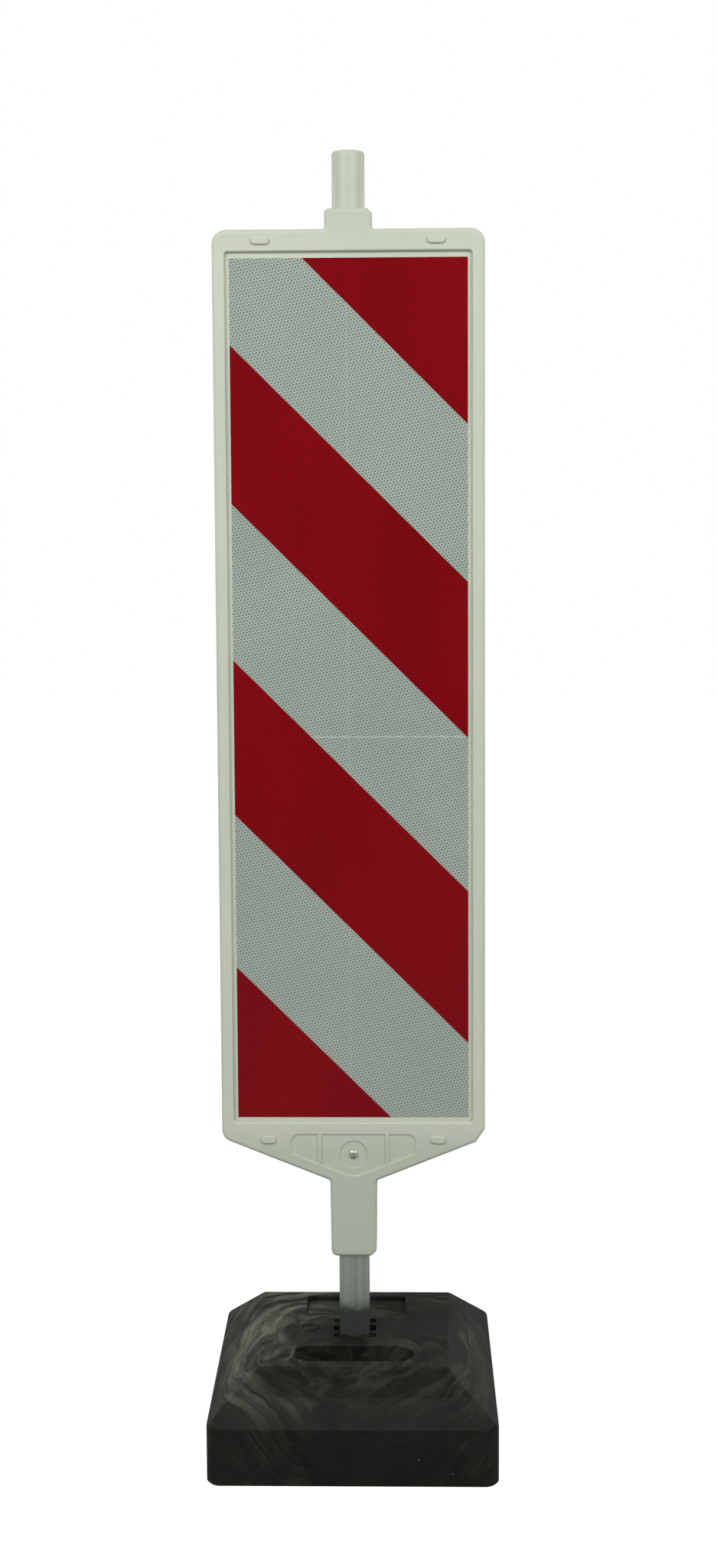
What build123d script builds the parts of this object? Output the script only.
from build123d import *
import os
from math import atan2, cos, radians, sin, sqrt, tan

# Road-works guidance panel on a plug-in post with a heavy base plate.
# Millimetres. +Z is up, the front face looks along -Y, and +X is to the right of
# someone facing the front. The origin is on the ground, on the axis of the post.

os.makedirs("parts", exist_ok=True)

# ---------------------------------------------------------------- sizes

# reflective faces
sheet_width = 304.0
sheet_height = 1120.0
sheet_thickness = 0.6
film_thickness = 0.2
film_width = 143.0
film_start = 93.0

# panel, a hollow body of two half shells that meet at the post's mid plane
wall = 3.0
field_recess = 5.0
margin_side = 5.5
margin_top = 8.0
margin_bottom = 6.0
rail_side = 16.5
rail_top = 28.0
rail_bottom = 22.7
rim_radius = 5.5
top_corner_radius = 18.5
lower_corner_radius = 17.0
lower_corner_chamfer = 13.0
field_corner_radius = 4.0
field_edge_radius = 2.4
seam_chamfer = 0.5
shoulder_rise = 57.3

# socket at the panel's foot, narrowing a little downwards
socket_length = 103.0
socket_side = 10.0
socket_taper = 1.25
socket_corner_radius = 8.0
socket_corner_chamfer = 7.0
socket_root_radius = 3.0

# collar on the panel's top edge, which holds the lamp peg
collar_side = 9.25
collar_height = 26.0
collar_corner_radius = 6.5
collar_corner_chamfer = 6.0
collar_root_radius = 2.0

# shallow pocket above the socket, crossed by two ribs
pocket_depth = 2.0
pocket_inset = 17.0
pocket_end_inset = 92.0
pocket_end_radius = 10.0
pocket_low_end_radius = 7.0
pocket_foot_radius = 30.0
pocket_edge_radius = 1.9
pocket_rib_width = 6.5
pocket_rib_shift = 5.1

# round seat for the screw, sunk into the pocket
screw_above_socket = 36.0
seat_diameter = 35.5
seat_depth = 1.5
seat_floor = 3.7
seat_edge_radius = 1.4

# pill-shaped stacking pads on the front and their dimples at the back
pad_inset = 62.0
pad_width = 10.5
pad_length_top = 24.0
pad_length_bottom = 20.0
pad_height = 3.0
pad_edge_radius = 2.0
pad_bottom_drop = 23.0
dimple_clearance = 0.5

# inside the shells
rib_thickness = 2.0
cross_ribs = 7
guide_plates = 4

# square steel post
post_width = 40.0
post_wall = 2.0
post_corner_radius = 3.0
post_gap = 109.5
post_above_screw = 25.0
post_clearance = 0.3

# self-tapping pan-head screw
screw_head_diameter = 10.8
screw_head_height = 4.0
screw_shank_diameter = 5.4
screw_length = 19.0
screw_point_length = 4.0
screw_tip_diameter = 1.6
screw_crown = 1.8
screw_head_edge_radius = 0.6
screw_hole_clearance = 0.3
screw_thread_clearance = 0.05
screw_recess_width = 1.3
screw_recess_span = 5.6
screw_recess_depth = 2.2

# lamp peg, a hollow plug with a spigot in the collar
peg_diameter = 42.0
peg_height = 75.5
peg_crown = 3.0
peg_shoulder_radius = 4.0
peg_wall = 3.0
spigot_diameter = 34.0
spigot_length = 45.0
spigot_clearance = 0.25
spigot_floor_gap = 3.0

# base plate, with slopes from its plateau down to upright walls
base_width = 370.0
base_height = 125.0
base_front_corner_radius = 18.0
base_rear_corner_radius = 8.0
slope_height = 50.3
slope_run_side = 60.0
slope_run_front = 68.5
plateau_toe_angle = 2.0
steep_angle = 47.0
front_mild_angle = 26.7
side_mild_angle = 32.5
corner_share = 0.85
corner_reach = 62.0
base_foot_chamfer = 2.5
base_edge_radius = 5.0

# post hole in the base plate, with two ribs on each side that touch the post
hole_side = 8.0
hole_floor = 12.0
hole_rib_place = 12.5
hole_rib_width = 7.0
hole_rib_taper = 1.2
drain_diameter = 7.0

# carrying slot, recess for a label and the round date mark
slot_length = 157.0
slot_width = 45.4
slot_web = 25.0
slot_rim = 18.1
slot_edge = 1.5
label_width = 136.0
label_length = 55.0
label_depth = 5.0
label_web = 17.0
label_rim = 16.1
label_corner_radius = 3.0
date_diameter = 23.0
date_web = 20.0
date_groove = 1.2
date_groove_depth = 0.8

# ---------------------------------------------------------------- places

panel_half_width = sheet_width / 2 + margin_side + rail_side
socket_width_bottom = post_width + 2 * socket_side
socket_width_top = socket_width_bottom + 2 * socket_taper
collar_width = peg_diameter + 2 * collar_side
socket_bottom = base_height + post_gap
socket_top = socket_bottom + socket_length
shoulder = socket_top + shoulder_rise
slant_angle = atan2(shoulder_rise, panel_half_width - socket_width_top / 2)
field_bottom = shoulder + rail_bottom
sheet_bottom = field_bottom + margin_bottom
sheet_top = sheet_bottom + sheet_height
field_top = sheet_top + margin_top
panel_top = field_top + rail_top
collar_top = panel_top + collar_height
screw_height = socket_top + screw_above_socket
post_top = screw_height + post_above_screw

shell_depth = post_width / 2 + post_clearance + seat_floor + seat_depth + pocket_depth
face_y = -shell_depth
field_y = face_y + field_recess
pocket_y = face_y + pocket_depth
seat_y = pocket_y + seat_depth
field_width = sheet_width + 2 * margin_side
field_height = field_top - field_bottom
channel_width = post_width + 2 * post_clearance
bore_radius = spigot_diameter / 2 + spigot_clearance
spigot_bottom = collar_top - spigot_length
boss_bottom = spigot_bottom - spigot_floor_gap

pocket_half_length = panel_half_width - pocket_end_inset
pocket_rib_place = (seat_diameter / 2 + pocket_half_length) / 2 - pocket_rib_shift
pad_place = panel_half_width - pad_inset
dimple_depth = pad_height + dimple_clearance

hole_width = post_width + 2 * hole_side
slot_place = hole_width / 2 + slot_web + slot_width / 2
label_place = hole_width / 2 + label_web + label_length / 2
date_place = hole_width / 2 + date_web + date_diameter / 2
plateau_half_width = base_width / 2 - slope_run_side
plateau_front = slot_place + slot_width / 2 + slot_rim
plateau_rear = label_place + label_length / 2 + label_rim
base_wall_height = base_height - slope_height
base_front = plateau_front + slope_run_front
base_rear = plateau_rear + slope_height / tan(radians(steep_angle))


def upright(sketch, y=0.0):
    """Stand a sketch up in the XZ plane at the given depth; extrusions run to the front."""
    return Plane.XZ.offset(-y) * sketch


def block(x0, x1, y0, y1, z0, z1):
    """A box between two corners."""
    size = Box(x1 - x0, y1 - y0, z1 - z0)
    return Pos((x0 + x1) / 2, (y0 + y1) / 2, (z0 + z1) / 2) * size


def vertex_near(sketch, x, y):
    """The sketch's corner nearest to a point."""
    return min(sketch.vertices(), key=lambda v: (v.X - x) ** 2 + (v.Y - y) ** 2)


# ---------------------------------------------------------------- panel shells

def panel_outline():
    """Front view of the panel with its collar and socket."""
    hw, top, low = panel_half_width, socket_width_top / 2, socket_width_bottom / 2
    col = collar_width / 2
    outline = make_face(Polyline(
        (-hw, shoulder), (-hw, panel_top), (-col, panel_top), (-col, collar_top),
        (col, collar_top), (col, panel_top), (hw, panel_top), (hw, shoulder),
        (top, socket_top), (low, socket_bottom), (-low, socket_bottom), (-top, socket_top),
        close=True))
    rounded = [
        (-hw, panel_top, top_corner_radius), (hw, panel_top, top_corner_radius),
        (-hw, shoulder, lower_corner_radius), (-col, collar_top, collar_corner_radius),
        (-col, panel_top, collar_root_radius), (col, panel_top, collar_root_radius),
        (-low, socket_bottom, socket_corner_radius),
        (-top, socket_top, socket_root_radius), (top, socket_top, socket_root_radius)]
    for x, z, radius in rounded:
        outline = fillet(vertex_near(outline, x, z), radius)
    cut = [
        (hw, shoulder, lower_corner_chamfer), (col, collar_top, collar_corner_chamfer),
        (low, socket_bottom, socket_corner_chamfer)]
    for x, z, length in cut:
        outline = chamfer(vertex_near(outline, x, z), length)
    return outline


def pocket_outline(grow=0.0):
    """Pocket in the triangle: a flat top and two slants that meet over the socket."""
    top = field_bottom - pocket_inset + grow
    half = pocket_half_length + grow
    foot = socket_top - socket_width_top / 2 * tan(slant_angle)
    foot += (pocket_inset - grow) / cos(slant_angle)
    side = foot + half * tan(slant_angle)
    shape = make_face(Polyline(
        (-half, side), (-half, top), (half, top), (half, side), (0, foot), close=True))
    for x, z, radius in [
            (-half, top, pocket_end_radius), (half, top, pocket_end_radius),
            (-half, side, pocket_low_end_radius), (half, side, pocket_low_end_radius),
            (0, foot, pocket_foot_radius)]:
        shape = fillet(vertex_near(shape, x, z), radius)
    return shape


def field_outline(grow=0.0):
    """Recessed field that carries the reflective sheet."""
    shape = RectangleRounded(
        field_width + 2 * grow, field_height + 2 * grow, field_corner_radius + grow)
    return Pos(0, (field_bottom + field_top) / 2) * shape


def pad_outlines(grow=0.0):
    """The four pill-shaped stacking pads."""
    top = (field_top + panel_top) / 2
    bottom = field_bottom - pad_bottom_drop
    outlines = []
    for x in (-pad_place, pad_place):
        for z, length in [(top, pad_length_top), (bottom, pad_length_bottom)]:
            pill = SlotOverall(length + 2 * grow, pad_width + 2 * grow)
            outlines.append(Pos(x, z) * pill)
    return outlines


def inside_of_shell(front):
    """Hollow of one half shell, with its stiffening ribs left standing."""
    hollow = extrude(upright(offset(panel_outline(), amount=-wall)), shell_depth - wall)
    deep = shell_depth
    hollow -= extrude(upright(field_outline(wall), field_y + wall), deep)
    hollow -= extrude(upright(pocket_outline(wall), pocket_y + wall), deep)
    seat = Pos(0, screw_height) * Circle(seat_diameter / 2 + wall)
    hollow -= extrude(upright(seat, seat_y + wall), deep)
    if not front:
        for dimple in pad_outlines(dimple_clearance + wall):
            hollow -= extrude(upright(dimple, face_y + dimple_depth + wall), deep)
    half = rib_thickness / 2
    step = field_height / (cross_ribs + 1)
    for n in range(1, cross_ribs + 1):
        z = field_bottom + n * step
        hollow -= block(-panel_half_width, panel_half_width, -deep, 0, z - half, z + half)
    hollow -= block(-half, half, -deep, 0, post_top, boss_bottom + wall)
    hollow -= block(-panel_half_width, panel_half_width, -deep, 0, post_top, post_top + wall)
    pitch = (post_top - socket_bottom) / guide_plates
    for n in range(1, guide_plates):
        z = socket_bottom + n * pitch
        hollow -= block(-panel_half_width, panel_half_width, -deep, 0, z - half, z + half)
    boss = Cylinder(bore_radius + wall, collar_top - boss_bottom)
    hollow -= Pos(0, 0, (collar_top + boss_bottom) / 2) * boss
    return hollow


def rim_edges(body, low, high):
    """Edges round the openings in a shell's front face, between two heights."""
    level = body.faces().filter_by_position(Axis.Y, face_y - 0.01, face_y + 0.01)
    edges = []
    for wire in level.sort_by(SortBy.AREA)[-1].inner_wires():
        if low < wire.bounding_box().center().Z < high:
            edges += wire.edges()
    return edges


def shell(front):
    """One half shell, as the front one. The rear one is this shape turned to the back."""
    body = extrude(upright(panel_outline()), shell_depth)
    body = fillet(body.faces().sort_by(Axis.Y)[0].edges(), rim_radius)
    body = chamfer(body.faces().sort_by(Axis.Y)[-1].edges(), seam_chamfer)

    body -= extrude(upright(field_outline(), field_y), field_recess)
    body = fillet(rim_edges(body, field_bottom, field_top), field_edge_radius)

    pocket = extrude(upright(pocket_outline(), pocket_y), pocket_depth)
    half = pocket_rib_width / 2
    for x in (-pocket_rib_place, pocket_rib_place):
        pocket -= block(x - half, x + half, face_y, pocket_y, socket_bottom, field_bottom)
    body -= pocket
    body = fillet(rim_edges(body, socket_bottom, field_bottom), pocket_edge_radius)

    seat = Pos(0, screw_height) * Circle(seat_diameter / 2)
    body -= extrude(upright(seat, seat_y), seat_depth)
    rim = [
        e for e in body.edges().filter_by(GeomType.CIRCLE)
        if abs(e.radius - seat_diameter / 2) < 0.01 and abs(e.center().Y - pocket_y) < 0.01]
    body = fillet(rim, seat_edge_radius)

    body -= inside_of_shell(front)
    body -= block(
        -channel_width / 2, channel_width / 2, -channel_width / 2, 0, socket_bottom, post_top)
    bore = Cylinder(bore_radius, collar_top - boss_bottom)
    body -= Pos(0, 0, (collar_top + boss_bottom) / 2) * bore

    if front:
        for outline in pad_outlines():
            pad = extrude(upright(outline, face_y), pad_height)
            body += fillet(pad.faces().sort_by(Axis.Y)[0].edges(), pad_edge_radius)
    else:
        for outline in pad_outlines(dimple_clearance):
            body -= extrude(upright(outline, face_y + dimple_depth), dimple_depth)
    return body


def front_shell():
    """Front half with the screw hole."""
    hole = Cylinder(
        screw_shank_diameter / 2 + screw_hole_clearance, 2 * shell_depth, rotation=(90, 0, 0))
    return shell(True) - Pos(0, -shell_depth, screw_height) * hole


def rear_shell():
    """Rear half, the same outline mirrored about the mid plane, with dimples for pads."""
    return mirror(shell(False), about=Plane.XZ)


# ---------------------------------------------------------------- reflective faces

def stripe(n):
    """Red film strip n, counted from the top. Its two edges run down at 45 degrees."""
    step = film_width * sqrt(2)
    lower = sheet_top - sheet_width / 2 + film_start - 2 * n * step
    # the first strip is a corner piece, so it has no upper edge on the sheet
    upper = lower + (step if n else sheet_width)
    reach = sheet_width
    band = make_face(Polyline(
        (-reach, upper + reach), (reach, upper - reach),
        (reach, lower - reach), (-reach, lower + reach), close=True))
    face = Pos(0, (sheet_bottom + sheet_top) / 2) * Rectangle(sheet_width, sheet_height)
    return extrude(upright(face & band, field_y - sheet_thickness), film_thickness)


def sheet():
    """White prismatic sheet, bonded to the floor of the front field."""
    face = Pos(0, (sheet_bottom + sheet_top) / 2) * Rectangle(sheet_width, sheet_height)
    return extrude(upright(face, field_y), sheet_thickness)


# ---------------------------------------------------------------- post, peg and screw

def post_tube():
    """Square steel tube from the floor of the base's hole up to the panel's stop."""
    outer = RectangleRounded(post_width, post_width, post_corner_radius)
    bore = post_width - 2 * post_wall
    inner = RectangleRounded(bore, bore, post_corner_radius - post_wall)
    tube = Pos(0, 0, hole_floor) * extrude(outer - inner, post_top - hole_floor)
    hole = Cylinder(
        screw_shank_diameter / 2 + screw_thread_clearance, post_width, rotation=(90, 0, 0))
    return tube - Pos(0, -post_width / 2 - post_wall, screw_height) * hole


def crowned(radius, height, drop, edge_radius):
    """Upright cylinder from z = 0 with a domed top and a rounded shoulder."""
    ball = (radius ** 2 + drop ** 2) / (2 * drop)
    body = Pos(0, 0, height / 2) * Cylinder(radius, height) & Pos(0, 0, height - ball) * Sphere(ball)
    shoulder = [e for e in body.edges().filter_by(GeomType.CIRCLE) if e.center().Z > height / 2]
    return fillet(shoulder, edge_radius)


def lamp_peg():
    """Hollow peg for a warning lamp, with a spigot that plugs into the collar."""
    radius, spigot = peg_diameter / 2, spigot_diameter / 2
    solid = Pos(0, 0, collar_top) * crowned(radius, peg_height, peg_crown, peg_shoulder_radius)
    solid += Pos(0, 0, collar_top - spigot_length / 2) * Cylinder(spigot, spigot_length)
    head_room = peg_height - peg_crown - peg_shoulder_radius - 2 * peg_wall
    solid -= Pos(0, 0, collar_top + peg_wall + head_room / 2) * Cylinder(
        radius - peg_wall, head_room)
    throat = spigot_length + peg_wall
    return solid - Pos(0, 0, spigot_bottom + throat / 2) * Cylinder(spigot - peg_wall, throat)


def fixing_screw():
    """Pan-head tapping screw through the front shell into the post."""
    shank = screw_shank_diameter / 2
    straight = screw_length - screw_point_length
    body = crowned(
        screw_head_diameter / 2, screw_head_height, screw_crown, screw_head_edge_radius)
    body += Pos(0, 0, -straight / 2) * Cylinder(shank, straight)
    body += Pos(0, 0, -straight - screw_point_length / 2) * Rot(180, 0, 0) * Cone(
        shank, screw_tip_diameter / 2, screw_point_length)
    for span_x, span_y in [
            (screw_recess_span, screw_recess_width), (screw_recess_width, screw_recess_span)]:
        bar = Box(span_x, span_y, screw_recess_depth)
        body -= Pos(0, 0, screw_head_height - screw_recess_depth / 2) * bar
    return Pos(0, seat_y, screw_height) * Rot(90, 0, 0) * body


# ---------------------------------------------------------------- base plate

def slope(heading, distance, height, angle, toe=0.0):
    """Cutting plane that falls away from the post. Heading 0 faces +X and 90 faces +Y."""
    way, tilt = radians(heading), radians(angle)
    turn = way + radians(toe)
    normal = (sin(tilt) * cos(turn), sin(tilt) * sin(turn), cos(tilt))
    return Plane((distance * cos(way), distance * sin(way), height), z_dir=normal)


def corner_slope(mild, steep, rear):
    """Cutting plane that evens out a rear corner, where both flank slopes meet the rear one."""
    top, wall_top = Plane.XY.offset(base_height), Plane.XY.offset(base_wall_height)
    peak = (mild & steep) & rear
    upper = peak + (((mild & rear) & top) - peak) * corner_share
    lower = peak + (((steep & rear) & wall_top) - peak) * corner_share
    front = peak - Vector(0, corner_reach, 0)
    normal = (upper - front).cross(lower - front)
    return Plane(front, z_dir=normal if normal.Z > 0 else -normal)


def base_blank():
    """Block with rounded upright corners, cut by mild and steep slopes round the plateau."""
    half = base_width / 2
    plan = make_face(Polyline(
        (-half, -base_front), (half, -base_front), (half, base_rear), (-half, base_rear),
        close=True))
    for x in (-half, half):
        plan = fillet(vertex_near(plan, x, -base_front), base_front_corner_radius)
        plan = fillet(vertex_near(plan, x, base_rear), base_rear_corner_radius)
    blank = extrude(plan, base_height)
    rear = slope(90, base_rear, base_wall_height, steep_angle)
    planes = [
        slope(-90, base_front, base_wall_height, steep_angle),
        slope(-90, plateau_front, base_height, front_mild_angle),
        rear]
    for heading, toe in [(0, -plateau_toe_angle), (180, plateau_toe_angle)]:
        steep = slope(heading, half, base_wall_height, steep_angle)
        mild = slope(heading, plateau_half_width, base_height, side_mild_angle, toe)
        planes += [steep, mild, corner_slope(mild, steep, rear)]
    for plane in planes:
        blank = split(blank, bisect_by=plane, keep=Keep.BOTTOM)
    return blank


def post_hole():
    """Square hole whose eight ribs are left standing to guide the post."""
    depth = base_height - hole_floor
    middle = hole_floor + depth / 2
    hole = Pos(0, 0, middle) * Box(hole_width, hole_width, depth)
    reach = channel_width / 2
    half, tip = hole_rib_width / 2 + hole_rib_taper, hole_rib_width / 2
    for turn in range(4):
        for side in (-1, 1):
            place = side * hole_rib_place
            rib = make_face(Polyline(
                (reach, place - tip), (hole_width / 2, place - half),
                (hole_width / 2, place + half), (reach, place + tip), close=True))
            hole -= Rot(0, 0, 90 * turn) * Pos(0, 0, hole_floor) * extrude(rib, depth)
    drain = (hole_width + channel_width) / 4
    for x in (-drain, drain):
        for y in (-drain, drain):
            hole += Pos(x, y, hole_floor / 2) * Cylinder(drain_diameter / 2, hole_floor)
    return hole


def date_mark():
    """Ring groove round the date insert's mark, and the groove of its dial."""
    ring = Circle(date_diameter / 2) - Circle(date_diameter / 2 - date_groove)
    return Pos(-date_place, 0, base_height - date_groove_depth) * extrude(ring, date_groove_depth)


def base_plate():
    """Heavy moulded base with the post hole, carrying slot, label recess and date mark."""
    base = base_blank()
    base = fillet(
        [e for e in base.edges() if e.bounding_box().min.Z > base_wall_height - 1],
        base_edge_radius)
    base = chamfer(base.faces().sort_by(Axis.Z)[0].edges(), base_foot_chamfer)
    slot = Pos(0, -slot_place) * SlotOverall(slot_length, slot_width)
    base -= extrude(slot, base_height)
    rim = [
        e for e in base.edges().filter_by_position(
            Axis.Z, base_height - 0.01, base_height + 0.01)
        if abs(e.center().Y + slot_place) < slot_width and abs(e.center().X) < slot_length / 2]
    base = chamfer(rim, slot_edge)
    base -= post_hole()
    recess = Pos(0, label_place) * RectangleRounded(
        label_width, label_length, label_corner_radius)
    base -= Pos(0, 0, base_height - label_depth) * extrude(recess, label_depth)
    return base - date_mark()


# ---------------------------------------------------------------- build

def main():
    parts = {
        "base_plate": base_plate(),
        "post_tube": post_tube(),
        "front_shell": front_shell(),
        "rear_shell": rear_shell(),
        "lamp_peg": lamp_peg(),
        "fixing_screw": fixing_screw(),
        "front_sheet": sheet(),
        "rear_sheet": Rot(0, 0, 180) * sheet()}
    for n, place in enumerate(["top", "upper", "lower", "bottom"]):
        parts[f"front_stripe_{place}"] = stripe(n)
        parts[f"rear_stripe_{place}"] = Rot(0, 0, 180) * stripe(n)
    for name, solid in parts.items():
        solid.label = name
        export_step(solid, f"parts/{name}.step")


main()
